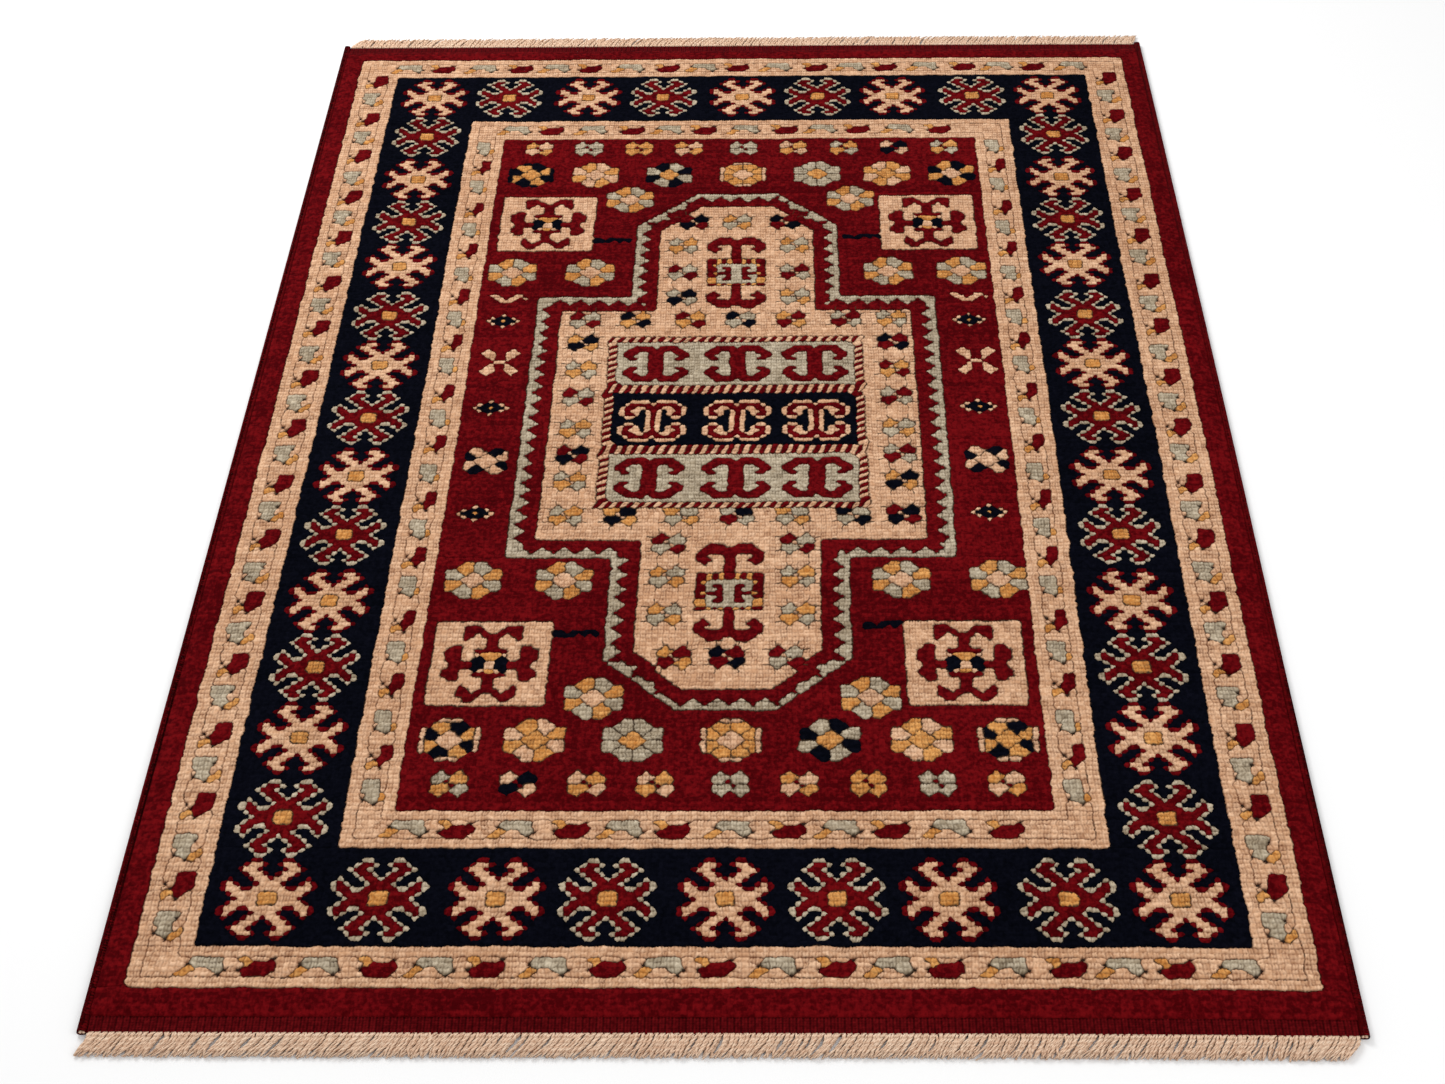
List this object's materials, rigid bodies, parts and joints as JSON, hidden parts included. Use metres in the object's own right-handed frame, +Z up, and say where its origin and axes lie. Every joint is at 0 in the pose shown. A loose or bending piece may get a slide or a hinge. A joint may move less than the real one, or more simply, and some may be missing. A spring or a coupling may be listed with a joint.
{
  "type": "area rug",
  "caption": "Rectangular hand-knotted wool area rug with short warp fringes, a stepped medallion and a wide border of stars.",
  "frame": {"origin": "on the floor, under the middle of the rug", "axes": "+X across the rug, +Y along it towards the far end, +Z up through the pile"},
  "size_m": [1.2214, 1.83, 0.0105],
  "materials": {
    "madder_pile": "dense cut wool pile in deep madder red, soft and matt, with a little variation from knot to knot",
    "navy_pile": "dense cut wool pile in blue-black, soft and matt, with stars knotted in ivory, red and gold",
    "ivory_pile": "dense cut wool pile in peach ivory, each knot a rounded bead, with dark brown outlines that sit lower",
    "sage_pile": "dense cut wool pile in sage grey, with red and ivory motifs",
    "madder_weave": "weft-faced flat weave in madder red wool, ribbed along the warps",
    "madder_overcast": "selvedge wrapped round and round in madder red wool",
    "ground_weave": "woven ground of wool warps and wefts; from below it shows the backs of the knots in the colours of the design",
    "warp_yarn": "undyed cream wool warps, two plied ends, cut straight"
  },
  "bodies": {
    "root": {"corner_squares": "ivory_pile", "field_far": "madder_pile", "field_left": "madder_pile", "field_near": "madder_pile", "field_right": "madder_pile", "head_shields": "sage_pile", "inner_guard_far": "ivory_pile", "inner_guard_left": "ivory_pile", "inner_guard_near": "ivory_pile", "inner_guard_right": "ivory_pile", "kilim_end_far": "madder_weave", "kilim_end_near": "madder_weave", "margin_far": "madder_pile", "margin_left": "madder_pile", "margin_near": "madder_pile", "margin_right": "madder_pile", "medallion_ground": "ivory_pile", "medallion_lining": "madder_pile", "medallion_outline": "sage_pile", "outer_guard_far": "ivory_pile", "outer_guard_left": "ivory_pile", "outer_guard_near": "ivory_pile", "outer_guard_right": "ivory_pile", "panel_band_far": "sage_pile", "panel_band_middle": "navy_pile", "panel_band_near": "sage_pile", "panel_stripes": "madder_pile", "selvedge_cords_left": "warp_yarn", "selvedge_cords_right": "warp_yarn", "selvedge_wrap_left": "madder_overcast", "selvedge_wrap_right": "madder_overcast", "star_border_far": "navy_pile", "star_border_left": "navy_pile", "star_border_near": "navy_pile", "star_border_right": "navy_pile", "warp_fringe_far": "warp_yarn", "warp_fringe_near": "warp_yarn", "woven_ground": "ground_weave"}
  },
  "joints": []
}
